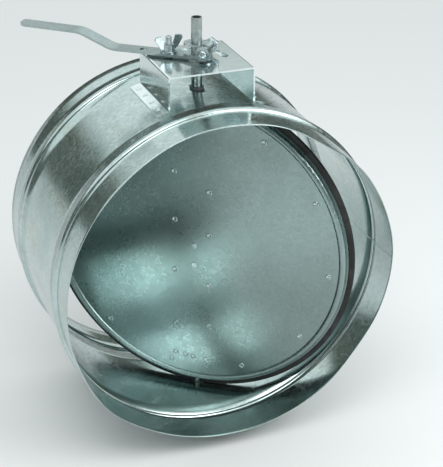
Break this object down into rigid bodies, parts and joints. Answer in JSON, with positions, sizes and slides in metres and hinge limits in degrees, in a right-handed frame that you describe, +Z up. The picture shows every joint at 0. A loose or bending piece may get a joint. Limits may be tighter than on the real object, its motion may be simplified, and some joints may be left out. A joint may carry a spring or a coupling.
{
  "type": "volume control damper",
  "caption": "Round galvanised duct damper: beaded casing, gasketed butterfly blade on an upright shaft, hand lever with wing-nut lock.",
  "frame": {"origin": "where the duct's axis crosses the blade shaft's axis, at the middle of the casing", "axes": "+Y along the duct from the near opening to the far one, +Z up the blade shaft towards the hand lever, +X to the right seen from the near opening"},
  "size_m": [0.3202, 0.2142, 0.393],
  "materials": {
    "galvanised_sheet": "spangled zinc",
    "zinc_plated": "bright zinc plate",
    "bare_steel": "drawn",
    "black_rubber": "matte",
    "bush_plastic": "matte"
  },
  "bodies": {
    "casing": {"duct_shell": "galvanised_sheet", "handle_bracket": "galvanised_sheet", "plate_bush": "bush_plastic", "upper_bush": "bush_plastic", "lower_bush": "bush_plastic"},
    "blade": {"shaft": "bare_steel", "lower_pivot": "bare_steel", "blade_front_skin": "galvanised_sheet", "blade_back_skin": "galvanised_sheet", "gasket_left": "black_rubber", "gasket_right": "black_rubber", "upper_strap": "galvanised_sheet", "lower_strap": "galvanised_sheet", "shaft_rivets": "zinc_plated", "lower_washer": "zinc_plated", "retaining_ring": "bare_steel", "hand_lever": "galvanised_sheet", "clamp_strap": "galvanised_sheet", "clamp_bolt": "zinc_plated", "clamp_washer": "zinc_plated", "clamp_nut": "zinc_plated", "lock_washer": "zinc_plated"},
    "lock_bolt": {"lock_bolt": "zinc_plated"},
    "wing_nut": {"wing_nut": "zinc_plated"}
  },
  "joints": [
    {"name": "blade_turn", "type": "hinge", "parent": "casing", "child": "blade", "pos_m": [0, 0, 0], "axis": [0, 0, 1], "range_deg": [-139, 5]},
    {"name": "wing_nut_turn", "type": "hinge", "parent": "blade", "child": "wing_nut", "pos_m": [-0.02088, 0.01631, 0.1905], "axis": [0, 0, 1], "range_deg": [0, 720]},
    {"name": "lock_bolt_drop", "type": "slide", "parent": "blade", "child": "lock_bolt", "axis": [0, 0, -1], "range_m": [0, 0.002]}
  ],
  "couplings": [
    {"joint": "lock_bolt_drop", "follows": "wing_nut_turn", "m_per_rad": 0.00015915}
  ]
}
